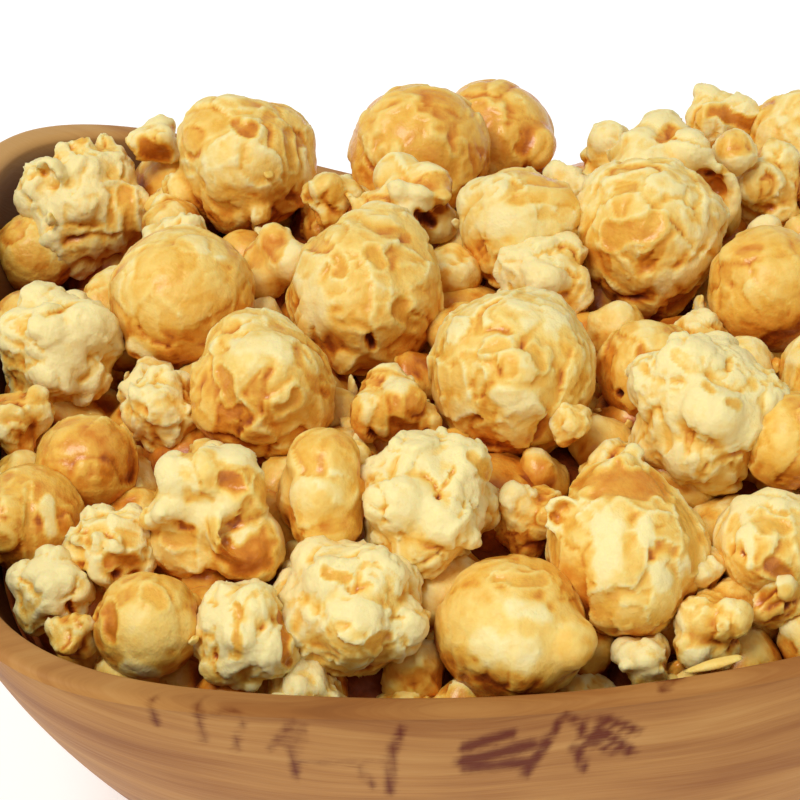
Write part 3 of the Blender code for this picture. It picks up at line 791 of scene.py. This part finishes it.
def surface_relief(points, look, seed):
    """A kernel's plates, ridges, creases and crinkles: height in mm, and where glaze pools."""
    sway = [cloud(points / BEND_SIZE + 7.7 * axis, seed + axis) for axis in range(3)]
    bent = points + BEND_REACH * np.stack(sway, axis=1)
    nearest, second, own, facet = patches(bent / look["plate"], seed + 3)
    line = np.exp(-(((second - nearest) / LINE_WIDTH) ** 2))
    stretch = cloud(points / STRETCH_SIZE, seed + 4)
    raised = rise_between(stretch, *RAISED_STRETCH)
    sunk = rise_between(-stretch, *SUNK_STRETCH)
    height = line * (look["ridge"] * raised - look["crease"] * sunk)
    swell = 0.5 * cloud(points / SWELL_SIZE, seed + 5) + (own - 0.5) * (1 - line)
    height += look["swell"] * swell
    pool = rise_between(cloud(bent / POOL_SIZE, seed + 6), *POOL_EDGE)
    height += look["island"] * (ISLAND_RIM * pool * (1 - pool) - ISLAND_DEPTH * pool)
    height += look["facet"] * look["plate"] * facet
    near, _, own, facet = patches(bent / (look["plate"] * SMALL_PLATE), seed + 7)
    dome = 1 - np.minimum(near * BUMP_SPREAD, 1) ** 2
    height += look["bump"] * (own - BUMP_LEVEL) * dome
    height += SMALL_PLATE * look["facet"] * look["plate"] * facet
    height += look["crinkle"] * cloud(points / CRINKLE_SIZE, seed + 8)
    return height, pool


def fuse(points, faces, fineness):
    """Closed shapes that overlap as one skin: its points, faces, normals and edges."""
    body = mesh_object("kernel", points, faces)
    bpy.context.view_layer.objects.active = body
    body.data.remesh_voxel_size = fineness
    body.data.use_remesh_preserve_volume = False
    bpy.ops.object.voxel_remesh()
    points = points_of(body)
    faces = faces_of(body, 4)
    edges = np.empty(len(body.data.edges) * 2, dtype=np.int32)
    body.data.edges.foreach_get("vertices", edges)
    edges = edges.reshape(-1, 2)
    points = evened(points, edges, EASE_ROUNDS)
    body.data.vertices.foreach_set("co", points.ravel())
    normals = np.empty(len(points) * 3)
    body.data.vertices.foreach_get("normal", normals)
    mesh = body.data
    bpy.data.objects.remove(body, do_unlink=True)
    bpy.data.meshes.remove(mesh)
    return points, faces, normals.reshape(-1, 3), edges


def lumpy_shape(kernel, look, parts, draw):
    """A body with its lumps and cups, in mm, as wide as the kernel."""
    radius = kernel["radius"] / MM
    pieces = [place_part(parts["ball"], (0, 0, 0), look["body"] * radius)]
    for direction in even_directions(look["lumps"], draw):
        size = look["lump"] * draw.uniform(*LUMP_RANGE) * radius
        pieces.append(place_part(parts["ball"], direction * look["reach"] * radius, size))
    for direction in even_directions(look["cups"] + 2, draw)[:look["cups"]]:
        size = CUP_SIZE * draw.uniform(*CUP_RANGE) * radius
        facing = direction + Vector([draw.uniform(-CUP_TILT, CUP_TILT) for axis in range(3)])
        pieces.append(place_part(parts["cup"], direction * CUP_REACH * radius, size, facing))
    points, faces = join_arrays(pieces)
    low = points.min(axis=0)
    high = points.max(axis=0)
    half = (high - low) / 2
    if kernel["layer"] == "seen":
        half = half[:2]
    return (points - (low + high) / 2) * radius / np.mean(half), faces


def sunken_glaze(points, normals, edges, fineness):
    """How much more glazed the skin is in its hollows, narrow and wide."""
    rounds = round(HOLLOW_ROUNDS * (SEEN_FINENESS / fineness) ** 2) + 1
    near = evened(points, edges, rounds)
    wide = evened(near, edges, PIT_ROUNDS * rounds)
    hollow = np.sum((near - points) * normals, axis=1)
    pit = np.sum((wide - points) * normals, axis=1)
    return HOLLOW_GLAZE * np.clip(hollow, *HOLLOW_RANGE) + PIT_GLAZE * np.clip(pit, *PIT_RANGE)


def make_kernel(kernel, number, parts):
    """One kernel's points in metres, its faces and each point's glaze and tone; the glaze values also
    carry painted shade, darker deep in the heap and on the underside.
    """
    look = KIND_LOOKS[kernel["kind"]]
    draw = random.Random(number)
    seed = number * 17
    seen = kernel["layer"] == "seen"
    fineness = FINENESS[kernel["layer"]]
    forms = forms_of(kernel) if seen else []
    pieces = [lumpy_shape(kernel, look, parts, draw)]
    pieces += form_parts(forms, kernel["radius"] / MM, parts)
    points, faces, normals, edges = fuse(*join_arrays(pieces), fineness)
    height, pool = surface_relief(points, look, seed)
    form_height, form_glaze, form_share = skin_forms(points, forms, seed + 11)
    height = height * (1 - CALMED_RELIEF * form_share) + form_height
    points = evened(points + normals * height[:, None], edges, 1, LAST_EASE)
    glaze = look["glaze"] + look["pool"] * pool
    glaze += UNEVEN_GLAZE * cloud(points / UNEVEN_SIZE, seed + 9)
    glaze += sunken_glaze(points, normals, edges, fineness)
    if seen:
        turn = view_axes()
    else:
        turn = np.array(Euler([draw.uniform(0, 2 * math.pi) for axis in range(3)]).to_matrix())
    # Painted shade and light: the glaze value rises where the skin faces down and falls where it
    # faces up
    upward = (normals @ turn.T)[:, 2]
    glaze = glaze * (1 - form_share) + form_glaze - UNDERSIDE_PAINTED_SHADE * upward
    middle = kernel["middle"]
    points = points @ turn.T * MM + np.array(middle)
    # Painted shade: the deeper a point lies below the heap's surface, the further its glaze value
    # moves towards the dark end of the ramp
    buried = (heap_height(middle.x, middle.y) - points[:, 2]) / MM
    painted_shade = (SEEN_BURIED_PAINTED_SHADE if seen else BURIED_PAINTED_SHADE) * (1 - CALMED_PAINTED_SHADE * form_share)
    glaze += painted_shade * rise_between(buried, BURIED_FROM, BURIED_TO)
    return points, faces, glaze, np.full(len(points), draw.uniform(-1, 1))


# Materials

def linear(red, green, blue):
    """A colour given as on a screen, 0 to 255, as the shader wants it."""
    shares = [value / 255 for value in (red, green, blue)]
    return tuple(s / 12.92 if s <= 0.04045 else ((s + 0.055) / 1.055) ** 2.4 for s in shares)


class Value:
    """A number in a material that Python's own signs can work with."""

    def __init__(self, finish, socket):
        self.finish = finish
        self.socket = socket


def add_sign(name, operation):
    """Lets a sign work on values, also with a plain number before or after it."""
    def after(value, other):
        return value.finish.node("ShaderNodeMath", {"operation": operation}, {0: value, 1: other})

    def before(value, other):
        return value.finish.node("ShaderNodeMath", {"operation": operation}, {0: other, 1: value})

    setattr(Value, f"__{name}__", after)
    setattr(Value, f"__r{name}__", before)


for sign, operation in (("add", "ADD"), ("sub", "SUBTRACT"), ("mul", "MULTIPLY"),
                        ("truediv", "DIVIDE"), ("pow", "POWER")):
    add_sign(sign, operation)


class Finish:
    """A material in the making."""

    def __init__(self, name):
        self.material = bpy.data.materials.new(name)
        self.material.use_nodes = True
        self.tree = self.material.node_tree
        self.shader = self.tree.nodes["Principled BSDF"]

    def feed(self, socket, value):
        """Links a value to a socket, or sets it there."""
        if isinstance(value, Value):
            self.tree.links.new(value.socket, socket)
        else:
            socket.default_value = value

    def node(self, kind, settings=None, inputs=None, output=0):
        """Adds a node, its settings first and then its sockets, and gives one output."""
        node = self.tree.nodes.new(kind)
        for name, value in (settings or {}).items():
            if name == "stops":
                self.set_stops(node.color_ramp, value)
            else:
                setattr(node, name, value)
        for socket, value in (inputs or {}).items():
            self.feed(node.inputs[socket], value)
        return Value(self, node.outputs[output])

    def set_stops(self, ramp, stops):
        while len(ramp.elements) < len(stops):
            ramp.elements.new(0.5)
        for element, (place, colour) in zip(ramp.elements, stops):
            element.position = place
            element.color = (*colour, 1)

    def surface(self, **sockets):
        """Sets or links sockets of the shader, their names with _ for a space."""
        for name, value in sockets.items():
            self.feed(self.shader.inputs[name.replace("_", " ")], value)

    def place(self, scale=(1, 1, 1)):
        """Places on the object in mm, scaled."""
        place = self.node("ShaderNodeTexCoord", output="Object")
        scale = tuple(value / MM for value in scale)
        return self.node("ShaderNodeMapping", {}, {"Vector": place, "Scale": scale})

    def noise(self, place, size, detail=3, roughness=0.5):
        """Noise from 0 to 1 with features of a size in mm."""
        return self.node("ShaderNodeTexNoise", {}, {"Vector": place, "Scale": 1 / size,
                                                    "Detail": detail, "Roughness": roughness})

    def stored(self, name):
        return self.node("ShaderNodeAttribute", {"attribute_name": name}, output="Fac")

    def between(self, value, low, high):
        """Goes softly from 0 at the low value to 1 at the high one."""
        settings = {"interpolation_type": "SMOOTHSTEP"}
        inputs = {"Value": value, "From Min": low, "From Max": high}
        return self.node("ShaderNodeMapRange", settings, inputs)

    def mix(self, share, first, second):
        """A colour between two, by a share."""
        inputs = {0: share, 6: first, 7: second}
        return self.node("ShaderNodeMix", {"data_type": "RGBA"}, inputs, output=2)


CREAM = linear(249, 230, 164)
PALE_GOLD = linear(246, 211, 118)
GOLD = linear(240, 186, 76)
AMBER = linear(219, 136, 38)
CARAMEL = linear(166, 78, 20)
# The darkest caramel of the pits, which is also the colour of the painted shade deep in the heap and
# on the core
DARK_CARAMEL_AND_SHADE = linear(86, 26, 6)
GLAZE_STOPS = ((0, CREAM), (0.25, PALE_GOLD), (0.5, GOLD), (0.78, AMBER), (1.02, CARAMEL),
               (1.4, DARK_CARAMEL_AND_SHADE))
GLAZE_RANGE = 1.5
TONE_GLAZE = 0.06
MOTTLE_GLAZE = 0.45
MOTTLE_SIZE = 3
GRAIN_SIZE = 1.7
GRAIN_HEIGHT = 0.9 * MM
WET = (0.15, 0.7)
BURNT = (0.95, 1.3)

# The log's heart from the bowl's middle in mm, how its rings tilt, bend and sway, and where
# the wood is lighter on the back left, as painted light
HEART_BACK = -6
HEART_UP = -40
RING_TILT = 0.12
RING_BEND = 0.002
SWAY = 34
SWAY_SIZE = 48
PAINTED_LIGHT_LEFT = (55, 95)
PAINTED_LIGHT_BACK = (10, 60)
# Streaks of the wood: their length and width in mm, and their roughness
BANDS = (110, 9, 0.55)
FINE_BANDS = (70, 2.6, 0.6)
FIBRES = (16, 0.7, 0.7)
CLOUD_SIZE = 45
WOOD_STOPS = ((0, linear(204, 156, 92)), (0.35, linear(182, 128, 68)),
              (0.65, linear(154, 98, 48)), (1, linear(112, 62, 30)))
MARK_COLOUR = (*linear(92, 16, 0), 1)
MARK_SHARE = 0.93
MARK_LEVELS = (0.12, 0.9)
WORN_SIZE = 2.4
SHADE_COLOUR = (*linear(62, 22, 14), 1)
SHADE_SHARE = 0.85


def popcorn_finish():
    """Puffed maize in a thin glaze: cream on its ridges, amber where the caramel pools, and dark
    caramel brown where the glaze values carry painted shade.
    """
    finish = Finish("glazed popcorn")
    place = finish.place()
    glaze = finish.stored("glaze") + TONE_GLAZE * finish.stored("tone")
    glaze = glaze + MOTTLE_GLAZE * (finish.noise(place, MOTTLE_SIZE, 2, 0.62) - 0.5)
    stops = [(at / GLAZE_RANGE, colour) for at, colour in GLAZE_STOPS]
    colour = finish.node("ShaderNodeValToRGB", {"stops": stops}, {"Fac": glaze / GLAZE_RANGE})
    grain = finish.noise(place, GRAIN_SIZE, 3, 0.6)
    bump = finish.node("ShaderNodeBump", {}, {"Strength": 0.42, "Distance": GRAIN_HEIGHT,
                                              "Height": grain})
    burnt = finish.between(glaze, *BURNT)
    wet = finish.between(glaze, *WET) * (1 - burnt)
    finish.surface(Base_Color=colour, Normal=bump, Roughness=0.5 - 0.18 * wet + 0.35 * burnt,
                   Coat_Weight=0.34 * wet, Coat_Roughness=0.2, Specular_IOR_Level=0.3,
                   Specular_Tint=(1, 0.86, 0.62, 1), Subsurface_Weight=0.25,
                   Subsurface_Scale=3 * MM)
    finish.shader.inputs["Subsurface Radius"].default_value = (1.0, 0.6, 0.25)
    return finish.material


def wood_finish():
    """Oiled hardwood: low growth bands about the log's heart, fibres and dark marks, with painted
    light on the back left and painted shade on the hollow's inner wall.
    """
    finish = Finish("oiled wood")
    place = finish.place()
    along, across, rise = (finish.node("ShaderNodeSeparateXYZ", {}, {"Vector": place}, output=axis)
                           for axis in range(3))
    sway = finish.noise(finish.place((0.4, 1, 1)), SWAY_SIZE, 2, 0.5) - 0.5
    level = rise + RING_TILT * along - RING_BEND * along**2 - HEART_UP
    ring = ((across - HEART_BACK) ** 2 + level**2) ** 0.5 + SWAY * sway

    def streaks(length, width, roughness):
        """Noise drawn out along the fibres and lying in the growth rings."""
        spot = finish.node("ShaderNodeCombineXYZ", {}, {"X": along / length, "Y": ring / width})
        return finish.noise(spot, 1, 3, roughness) - 0.5

    fibre = streaks(*FIBRES)
    cloudy = finish.noise(place, CLOUD_SIZE, 2, 0.5) - 0.5
    # Painted light: the back left of the wood is lighter, where more light falls on the rim
    pale = finish.between(-1 * along, *PAINTED_LIGHT_LEFT) * finish.between(across, *PAINTED_LIGHT_BACK)
    tone = (1.1 * streaks(*BANDS) + 0.5 * streaks(*FINE_BANDS) + 0.3 * fibre + 0.6 * cloudy
            + 0.42 - 0.45 * pale)
    colour = finish.node("ShaderNodeValToRGB", {"stops": WOOD_STOPS}, {"Fac": tone})
    worn = 0.35 * (finish.noise(place, WORN_SIZE, 3, 0.6) - 0.5) + 0.6 * fibre
    mark = finish.between(finish.stored("mark") + worn, *MARK_LEVELS)
    colour = finish.mix(MARK_SHARE * mark, colour, MARK_COLOUR)
    # Painted shade on the hollow's inner wall, which the popcorn shades
    colour = finish.mix(SHADE_SHARE * finish.stored("inner"), colour, SHADE_COLOUR)
    bump = finish.node("ShaderNodeBump", {}, {"Strength": 0.25, "Distance": 0.4 * MM,
                                              "Height": fibre - 0.5 * mark})
    finish.surface(Base_Color=colour, Normal=bump, Roughness=0.495 + 0.15 * fibre,
                   Specular_IOR_Level=0.22, Specular_Tint=(1, 0.7, 0.48, 1))
    return finish.material


# The bowl

BOWL_AROUND = 400
WALL_RINGS = 56
LIP_STEPS = 8
HOLLOW_RINGS = 26
BOWL_RINGS = WALL_RINGS + 2 * LIP_STEPS + HOLLOW_RINGS
HOLLOW_FROM = (WALL_RINGS + 2 * LIP_STEPS - 3, WALL_RINGS + 2 * LIP_STEPS + 1)
SMOOTH_ANGLE = math.radians(40)


def section_ring(number):
    """The ring of the bowl's section by number: its fall, low share, inset and drop."""
    if number < WALL_RINGS:
        return 1 - number / WALL_RINGS, FOOT_SHARE, 0, 0
    number -= WALL_RINGS
    if number < 2 * LIP_STEPS:
        side = number // LIP_STEPS
        angle = math.pi / 2 * (number % LIP_STEPS) / (LIP_STEPS - 1)
        climb = angle if side == 0 else math.pi / 2 - angle
        across = RIM_ROUNDING * (1 - math.cos(climb))
        drop = RIM_ROUNDING * (1 - math.sin(climb))
        return 0, FOOT_SHARE, across if side == 0 else RIM_THICKNESS - across, drop
    number -= 2 * LIP_STEPS
    return (number + 1) / HOLLOW_RINGS, HOLLOW_SHARE, RIM_THICKNESS, None


def bowl_place(number, turn):
    """Where a ring of the bowl's section passes at an angle."""
    fall, low_share, inset, drop = section_ring(number)
    x, y = plan_point(turn, wall_share(fall, low_share), inset, fall)
    if drop is None:
        return x, y, FLOOR_THICKNESS + (rim_height(turn) - FLOOR_THICKNESS) * (1 - fall)
    return x, y, rim_height(turn) * (1 - fall) - drop


def model_bowl():
    """The wall is drawn up ring by ring from a disc, and each ring takes its place."""
    bowl = draw_up_rings("wooden_bowl", BOWL_AROUND, BOWL_RINGS, look_down=True)
    bpy.ops.object.mode_set(mode="OBJECT")
    face_outwards(bowl)
    numbers = np.array([round(point.co.z) for point in bowl.data.vertices])
    # Where the hollow's inner wall begins, for the painted shade there
    add_values(bowl, "inner", rise_between(numbers, *HOLLOW_FROM))
    for point, number in zip(bowl.data.vertices, numbers):
        turn = math.atan2(point.co.y, point.co.x)
        point.co = bowl_place(int(number), turn)
    face_outwards(bowl)
    bpy.ops.object.shade_smooth_by_angle(angle=SMOOTH_ANGLE)
    return bowl


# Dark marks on the wall in the front view: two ends, a width and how dark, in pixels
WALL_MARKS = (
    (154, 700, 156, 724, 9, 0.76), (198, 700, 202, 740, 12, 0.68), (242, 724, 235, 750, 10, 0.66),
    (212, 712, 238, 712, 9, 0.52), (272, 748, 288, 726, 13, 0.66), (290, 722, 296, 774, 15, 0.76),
    (303, 726, 303, 746, 9, 0.62), (362, 770, 372, 786, 10, 0.7), (402, 728, 394, 750, 13, 0.84),
    (392, 748, 390, 790, 15, 0.84), (300, 762, 376, 762, 8, 0.46),
    (464, 748, 512, 733, 13, 1), (462, 762, 534, 744, 17, 1), (466, 768, 530, 762, 12, 1),
    (525, 774, 548, 742, 11, 1), (548, 742, 564, 714, 7, 1), (577, 719, 588, 742, 12, 1),
    (576, 748, 583, 767, 14, 1), (597, 718, 599, 742, 10, 0.9), (607, 719, 637, 730, 11, 1),
    (599, 729, 630, 751, 16, 1), (588, 736, 610, 752, 11, 0.8),
    (655, 678, 680, 677, 8, 1), (660, 690, 668, 690, 6, 0.8),
)
MARK_EDGE = 4


def wall_marks(item):
    """How strongly each point of the outer wall is marked, from 0 to 1."""
    points = points_of(item)
    values = np.zeros(len(points))
    for index, point in enumerate(points):
        if point[1] > -0.5 * HALF_WIDTH:
            continue
        across, down, depth = view_pixel(Vector(point))
        for first_x, first_y, last_x, last_y, width, strength in WALL_MARKS:
            run = Vector((last_x - first_x, last_y - first_y))
            start = Vector((across - first_x, down - first_y))
            share = min(max(start.dot(run) / run.length_squared, 0), 1)
            away = (start - run * share).length
            value = (1 - away / (width / 2 + MARK_EDGE)) * strength
            values[index] = max(values[index], value)
    add_values(item, "mark", values)


# The heap

CORE_RINGS = 40
CORE_AROUND = 160
CORE_SIDE_RINGS = 24
CORE_TOP_FALL = 0.24
CORE_DROP = 15 * MM
CORE_GAP = 0.6 * MM
CORE_LUMP_HEIGHT = 2.5 * MM
CORE_LUMP_SIZE = 7 * MM
# Painted shade: the glaze value that colours the whole core dark caramel brown, standing in for the
# shade in the gaps
CORE_PAINTED_SHADE = 1.2


def model_core(material):
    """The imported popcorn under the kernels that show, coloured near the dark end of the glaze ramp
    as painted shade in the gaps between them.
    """
    core = draw_up_rings("popcorn_core", CORE_AROUND, CORE_SIDE_RINGS + CORE_RINGS)
    bpy.ops.mesh.poke()
    bpy.ops.object.mode_set(mode="OBJECT")
    inset = RIM_THICKNESS + CORE_GAP
    floor = FLOOR_THICKNESS + CORE_GAP
    for point in core.data.vertices:
        turn = math.atan2(point.co.y, point.co.x)
        number = round(point.co.z)
        middle = math.hypot(point.co.x, point.co.y) < 0.5
        if number < CORE_SIDE_RINGS:
            fall = 1 - (1 - CORE_TOP_FALL) * number / (CORE_SIDE_RINGS - 1)
            x, y = plan_point(turn, wall_share(fall, HOLLOW_SHARE), inset, fall)
            z = floor + (rim_height(turn) - floor) * (1 - fall)
            if middle:
                x, y = 0, 0
        else:
            share = 0 if middle else 1 - (number - CORE_SIDE_RINGS + 1) / (CORE_RINGS + 1)
            share *= wall_share(CORE_TOP_FALL, HOLLOW_SHARE)
            x, y = plan_point(turn, share, inset, CORE_TOP_FALL)
            z = heap_height(x, y) - CORE_DROP
            z += CORE_LUMP_HEIGHT * noise.noise(Vector((x, y, 0)) / CORE_LUMP_SIZE)
        point.co = (x, y, z)
    face_outwards(core)
    count = len(core.data.vertices)
    return coat_popcorn(core, np.full(count, CORE_PAINTED_SHADE), np.zeros(count), material)


# Crumbs that lie between the kernels: how many, their faces and widths in mm, how flat and
# uneven they are, and how far and how often they roll down into a gap
CRUMBS = 150
CRUMB_STEPS = 3
CRUMB_WIDTHS = (1.6, 4.6)
CRUMB_SQUASH = (1, 0.72, 0.42)
CRUMB_LUMPS = 0.35
CRUMB_LUMP_SIZE = 1 / 1.4
CRUMB_GLAZE = 0.6
CRUMB_MOTTLE = 0.3
CRUMB_MOTTLE_SIZE = 2
ROLLS = 14
ROLL = 1.2 * MM
ROLL_TURNS = 8
GAP_LEVEL = 5 * MM
CRUMB_SEED = 3
# The sliver on the rim: its two ends in pixels, its half width and half thickness in mm, and
# how uneven and glazed it is
SLIVER = (686, 671, 744, 657)
SLIVER_WIDTH = 1.2
SLIVER_THICKNESS = 0.7
SLIVER_LUMPS = 0.15
SLIVER_GLAZE = 0.3


def top_over(middles, radii, x, y):
    """Height of the kernels' tops over a place, or nothing beside them."""
    over = radii**2 - (middles[:, 0] - x) ** 2 - (middles[:, 1] - y) ** 2
    if not np.any(over > 0):
        return -math.inf
    return float(np.max(middles[over > 0, 2] + np.sqrt(over[over > 0])))


def crumb_places(kernels, draw):
    """Where crumbs come to rest after rolling down from places drawn over the heap."""
    middles = np.array([list(kernel["middle"]) for kernel in kernels])
    radii = np.array([kernel["radius"] for kernel in kernels])
    places = []
    while len(places) < CRUMBS:
        x = draw.uniform(-HALF_LENGTH, HALF_LENGTH)
        y = draw.uniform(-HALF_WIDTH, HALF_WIDTH)
        for _ in range(ROLLS):
            tries = [(x + ROLL * math.cos(turn), y + ROLL * math.sin(turn))
                     for turn in np.arange(ROLL_TURNS) * 2 * math.pi / ROLL_TURNS]
            tries = [(top_over(middles, radii, *spot), *spot) for spot in [(x, y), *tries]]
            lowest = min(tries)
            if lowest[0] > -math.inf:
                x, y = lowest[1:]
        top = top_over(middles, radii, x, y)
        inside = plan_share(x, y, RIM_THICKNESS + CRUMB_WIDTHS[1] * MM) < 1
        if inside and -math.inf < top < heap_height(x, y) + GAP_LEVEL:
            places.append(Vector((x, y, top)))
    return places


def sliver_points(ball_points):
    """A ball drawn out to the sliver of hull that lies on the front of the rim."""
    first_x, first_y, last_x, last_y = SLIVER
    across, down = (first_x + last_x) / 2, (first_y + last_y) / 2
    depth = VIEW_NEAREST
    middle = view_point(across, down, depth)
    while plan_share(middle.x, middle.y, RIM_THICKNESS + SLIVER_WIDTH * MM) > 1:
        depth += VIEW_STEP
        middle = view_point(across, down, depth)
    run = view_axes() @ np.array((last_x - first_x, first_y - last_y, 0))
    length = np.linalg.norm(run) / 2 * depth / VIEW_FOCUS / MM
    turn = np.array(Vector(run).to_track_quat("X", "Z").to_matrix())
    lumps = 1 + SLIVER_LUMPS * cloud(ball_points * 2 + 40, CRUMBS)
    size = np.array((length, SLIVER_WIDTH, SLIVER_THICKNESS))
    return ball_points * lumps[:, None] * size @ turn.T * MM + np.array(middle)


def model_crumbs(kernels, material):
    """The crumbs in the gaps, and the sliver on the rim."""
    ball_points, faces = taken_arrays(add_ball(CRUMB_STEPS))
    draw = random.Random(CRUMB_SEED)
    crumbs = []
    glazes = []
    for number, place in enumerate(crumb_places(kernels, draw)):
        size = draw.uniform(*CRUMB_WIDTHS) / 2
        lumps = 1 + CRUMB_LUMPS * cloud(ball_points / CRUMB_LUMP_SIZE + 20, number)
        points = ball_points * lumps[:, None] * np.array(CRUMB_SQUASH) * size
        turn = Euler([draw.uniform(0, 2 * math.pi) for axis in range(3)]).to_matrix()
        points = points @ np.array(turn).T * MM + np.array(place)
        crumbs.append((points, faces))
        mottle = CRUMB_MOTTLE * cloud(points / MM / CRUMB_MOTTLE_SIZE, number)
        glazes.append(draw.uniform(0, CRUMB_GLAZE) + mottle)
    crumbs.append((sliver_points(ball_points), faces))
    glazes.append(np.full(len(ball_points), SLIVER_GLAZE))
    item = mesh_object("popcorn_crumbs", *join_arrays(crumbs))
    glazes = np.concatenate(glazes)
    return coat_popcorn(item, glazes, np.zeros(len(glazes)), material)


def model_heap(material):
    """Every kernel, joined into one piece for each kind and layer, and the crumbs."""
    parts = model_parts()
    groups = {}
    kernels = heap_layout()
    for kernel in kernels:
        if kernel["layer"] != "seen":
            kernel["middle"] = keep_off_wall(kernel["middle"], kernel["radius"])
    for number, kernel in enumerate(kernels):
        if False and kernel["layer"] == "low":
            continue
        layer = "" if kernel["layer"] == "seen" else kernel["layer"] + "_"
        name = f"popcorn_{layer}{kernel['kind']}"
        groups.setdefault(name, []).append(make_kernel(kernel, number, parts))
    heap = [model_crumbs(kernels, material)]
    for name, group in groups.items():
        item = mesh_object(name, *join_arrays([made[:2] for made in group]))
        glazes = np.concatenate([made[2] for made in group])
        tones = np.concatenate([made[3] for made in group])
        heap.append(coat_popcorn(item, glazes, tones, material))
    return heap


# The view and its light

SENSOR_WIDTH = 36
FLOOR_REACH = 8
FLOOR_GLOW = 0.25
SKY_STRENGTH = 0.46
SUN_STRENGTH = 1.9
SUN_SPREAD = math.radians(24)
SUN_DIRECTION = (0.45, 0.5, -1)


def look_along(item, direction):
    item.rotation_euler = Vector(direction).to_track_quat("-Z", "Y").to_euler()


def add_camera():
    camera = bpy.data.objects.new("camera", bpy.data.cameras.new("camera"))
    bpy.context.scene.collection.objects.link(camera)
    camera.data.sensor_width = SENSOR_WIDTH
    camera.data.lens = VIEW_FOCUS / (2 * VIEW_MIDDLE) * SENSOR_WIDTH
    camera.data.clip_start = 0.05
    camera.location = view_point(VIEW_MIDDLE, VIEW_MIDDLE, 0)
    aim = view_point(VIEW_MIDDLE, VIEW_MIDDLE, VIEW_DISTANCE)
    look_along(camera, aim - camera.location)
    bpy.context.scene.camera = camera


def add_floor():
    bpy.ops.object.select_all(action="DESELECT")
    bpy.ops.mesh.primitive_circle_add(vertices=64, radius=FLOOR_REACH, fill_type="NGON")
    floor = bpy.context.object
    floor.name = "floor"
    finish = Finish("pale floor")
    finish.surface(Base_Color=(0.93, 0.93, 0.93, 1), Roughness=0.8, Specular_IOR_Level=0.2,
                   Emission_Color=(1, 1, 1, 1), Emission_Strength=FLOOR_GLOW)
    floor.data.materials.append(finish.material)


def add_lights():
    world = bpy.data.worlds.new("studio")
    bpy.context.scene.world = world
    world.use_nodes = True
    sky = world.node_tree.nodes["Background"]
    sky.inputs["Color"].default_value = (1, 1, 1, 1)
    sky.inputs["Strength"].default_value = SKY_STRENGTH
    sun = bpy.data.objects.new("key", bpy.data.lights.new("key", "SUN"))
    sun.data.energy = SUN_STRENGTH
    sun.data.angle = SUN_SPREAD
    bpy.context.scene.collection.objects.link(sun)
    look_along(sun, SUN_DIRECTION)


add_camera()
add_floor()
add_lights()
bpy.context.scene.view_settings.view_transform = "Standard"

bowl = model_bowl()
wall_marks(bowl)
bowl.data.materials.append(wood_finish())
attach(bowl, "root")
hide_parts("bowl")

glaze = popcorn_finish()
for piece in [model_core(glaze), *model_heap(glaze)]:
    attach(piece, "root")
    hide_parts("popcorn_heap")
